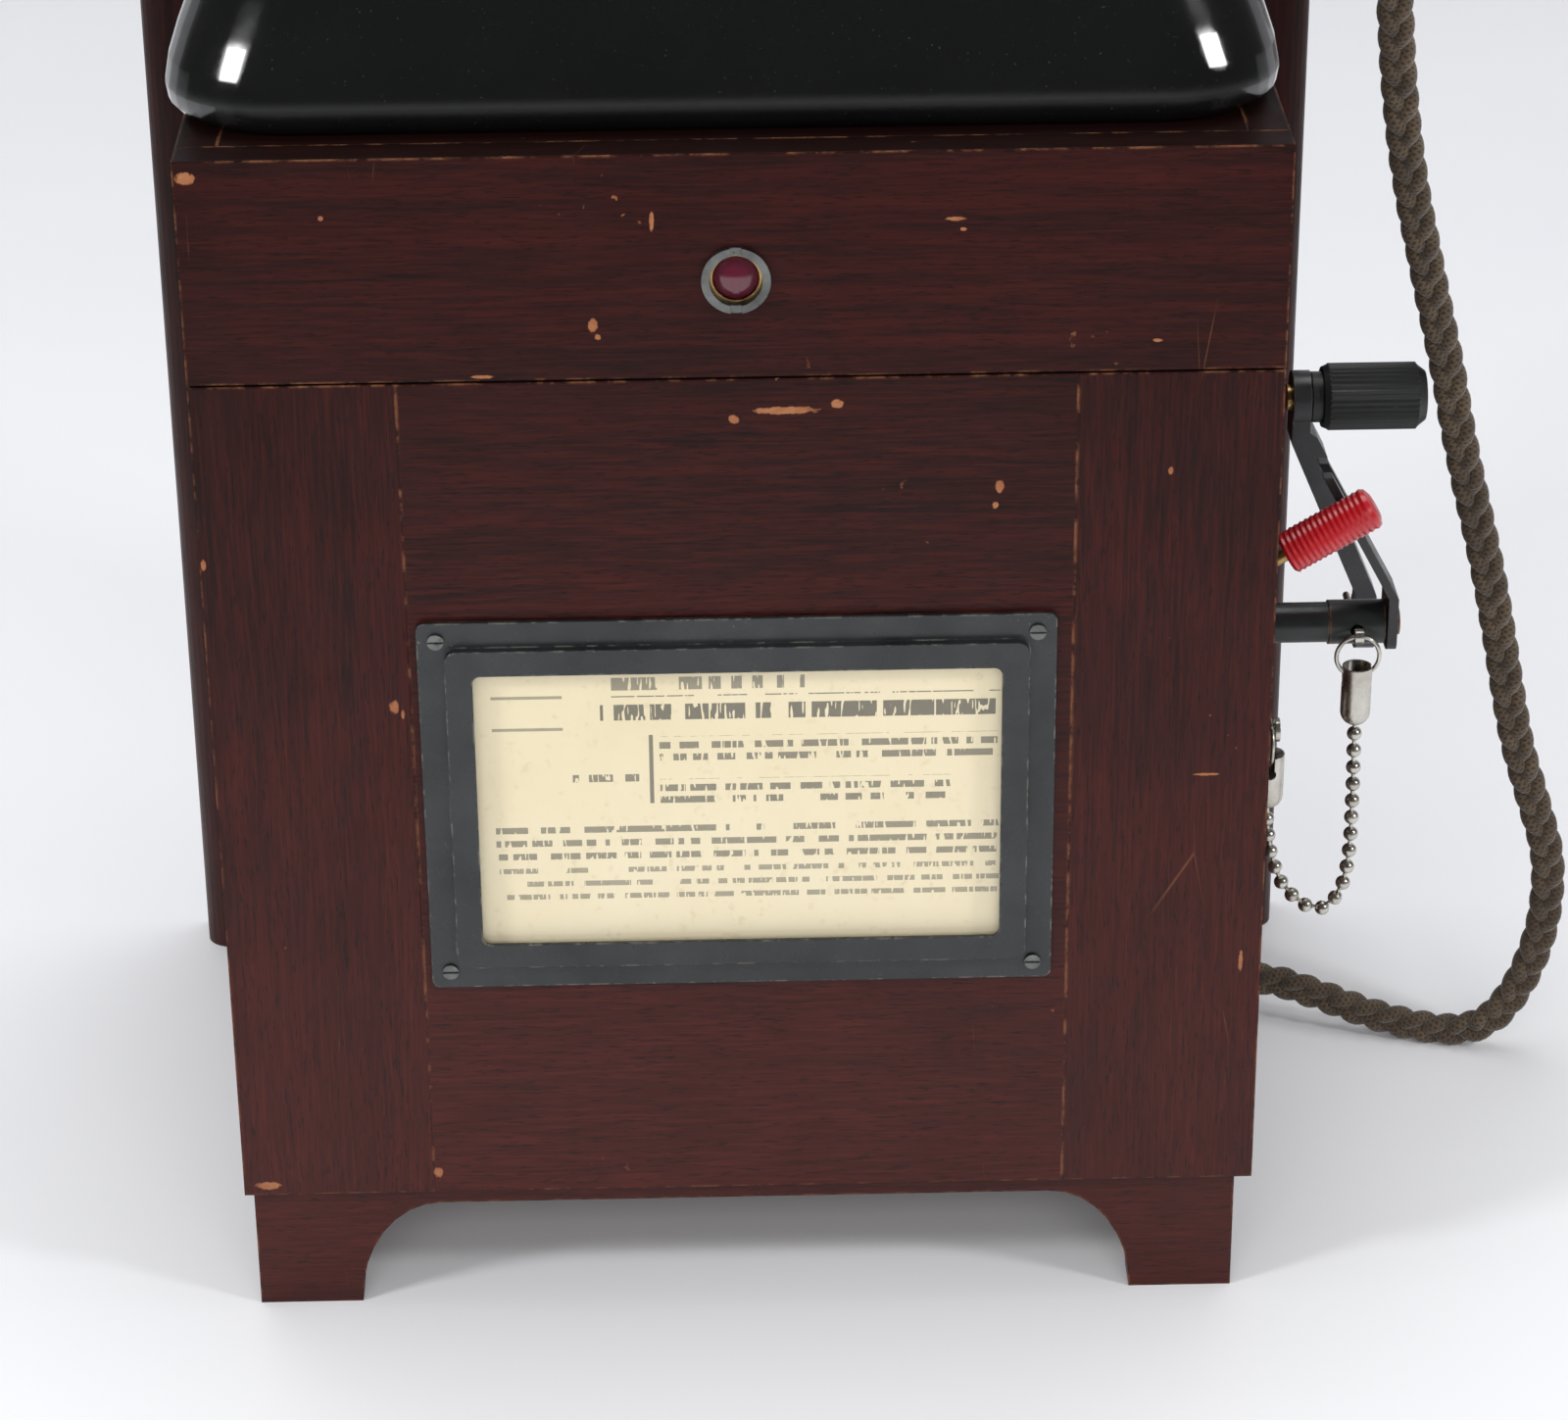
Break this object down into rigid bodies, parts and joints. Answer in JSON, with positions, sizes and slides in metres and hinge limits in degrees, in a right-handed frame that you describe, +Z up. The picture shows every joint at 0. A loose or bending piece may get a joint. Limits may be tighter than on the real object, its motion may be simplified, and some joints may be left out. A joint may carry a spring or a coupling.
{
  "type": "fire emergency telephone",
  "caption": "Wooden wall case with magneto crank, locking arm with pin and chain, key lever, signal lamp and framed card, carrying a moulded telephone body and handset.",
  "frame": {"origin": "middle of the backboard's bottom face, on the floor", "axes": "+X to the object's right as seen from the front, +Y from the door to the backboard, +Z up"},
  "size_m": [0.3804, 0.208, 0.48],
  "materials": {
    "mahogany": "varnished, worn",
    "brass": "aged",
    "bell_brass": "polished",
    "nickel": "nickel plated, aged",
    "steel": "plain",
    "black_paint": "black, worn at edges",
    "magnet_paint": "dark red",
    "copper_winding": "enamelled",
    "coil_wrap": "varnished cloth",
    "grey_can": "grey",
    "black_moulding": "moulded",
    "fluted_black": "moulded",
    "red_plastic": "glossy",
    "red_glass": "deep red",
    "clear_glass": "clear",
    "clear_window": "clear",
    "card": "paper card, aged",
    "gloss_black": "polished",
    "ivory": "glossy",
    "black_rubber": "matt",
    "braided_cord": "plaited"
  },
  "bodies": {
    "case": {"case_side_left": "mahogany", "case_side_right": "mahogany", "case_bottom": "mahogany", "case_top": "mahogany", "front_rail": "mahogany", "plinth_front": "mahogany", "plinth_sides": "mahogany", "backboard": "mahogany", "generator_shelf": "mahogany", "case_hinge_leaves": "brass", "hinge_pin": "brass", "lamp_bezel": "steel", "lamp_retainer": "brass", "lamp_jewel": "red_glass", "lamp_holder": "brass", "lamp_bulb": "clear_glass", "lock_rod": "black_paint", "bead_chain": "nickel", "chain_anchor": "nickel", "anchor_coupling": "nickel", "spindle_bush": "brass", "generator_frame": "brass", "generator_magnets": "magnet_paint", "key_plate": "black_paint", "key_switch": "steel", "induction_coil": "coil_wrap", "capacitor": "grey_can", "terminal_strip": "black_moulding", "bell_gongs": "bell_brass", "ringer": "coil_wrap", "telephone_body": "gloss_black", "cradle": "gloss_black", "cord_gland": "black_rubber", "handset_cord": "braided_cord"},
    "door": {"door_stile_left": "mahogany", "door_stile_right": "mahogany", "door_panel": "mahogany", "door_hinge_leaves": "brass", "catch_stud": "nickel", "label_frame": "black_paint", "label_glass": "clear_window", "label_card": "card", "label_screws": "steel"},
    "arm": {"locking_arm": "black_paint"},
    "pin": {"locking_pin": "nickel", "pin_ring": "nickel", "pin_coupling": "nickel"},
    "crank": {"crank_spindle": "steel", "crank_arm": "black_paint", "knob_pin": "brass", "drive_gear": "brass"},
    "knob": {"crank_knob": "fluted_black"},
    "armature": {"armature": "copper_winding", "armature_pinion": "steel"},
    "key": {"key_lever": "brass", "key_knob": "red_plastic"},
    "hammer": {"bell_hammer": "steel"},
    "plungers": {"cradle_plungers": "ivory"},
    "handset": {"handset_handle": "gloss_black", "handset_caps": "gloss_black"}
  },
  "joints": [
    {"name": "door_hinge", "type": "hinge", "parent": "case", "child": "door", "pos_m": [0.125, -0.18635, 0.144], "axis": [0, 0, 1], "range_deg": [0, 90]},
    {"name": "crank_turn", "type": "hinge", "parent": "case", "child": "crank", "pos_m": [0.13, -0.084, 0.136], "axis": [1, 0, 0], "continuous": true},
    {"name": "knob_spin", "type": "hinge", "parent": "crank", "child": "knob", "pos_m": [0.165, -0.084, 0.2], "axis": [1, 0, 0], "continuous": true},
    {"name": "armature_spin", "type": "hinge", "parent": "case", "child": "armature", "pos_m": [0.066, -0.084, 0.0985], "axis": [1, 0, 0], "continuous": true},
    {"name": "arm_hinge", "type": "hinge", "parent": "case", "child": "arm", "pos_m": [0.16, -0.158, 0.171], "axis": [1, 0, 0], "range_deg": [-90, 0]},
    {"name": "pin_slide", "type": "slide", "parent": "case", "child": "pin", "axis": [0, -1, 0], "range_m": [0, 0.025]},
    {"name": "key_hinge", "type": "hinge", "parent": "case", "child": "key", "pos_m": [0.113, -0.172, 0.1845], "axis": [0, 1, 0], "range_deg": [0, 38]},
    {"name": "hammer_swing", "type": "hinge", "parent": "case", "child": "hammer", "pos_m": [-0.059, -0.062, 0.212], "axis": [0, 1, 0], "range_deg": [-3, 3], "stiffness_Nm_per_rad": 0.02},
    {"name": "plunger_press", "type": "slide", "parent": "case", "child": "plungers", "axis": [0, 0, 1], "range_m": [-0.004, 0], "stiffness_N_per_m": 120},
    {"name": "handset_lift", "type": "slide", "parent": "case", "child": "handset", "axis": [0, 0, 1], "range_m": [0, 0.15]}
  ],
  "couplings": [
    {"joint": "armature_spin", "follows": "crank_turn", "ratio": -4}
  ]
}
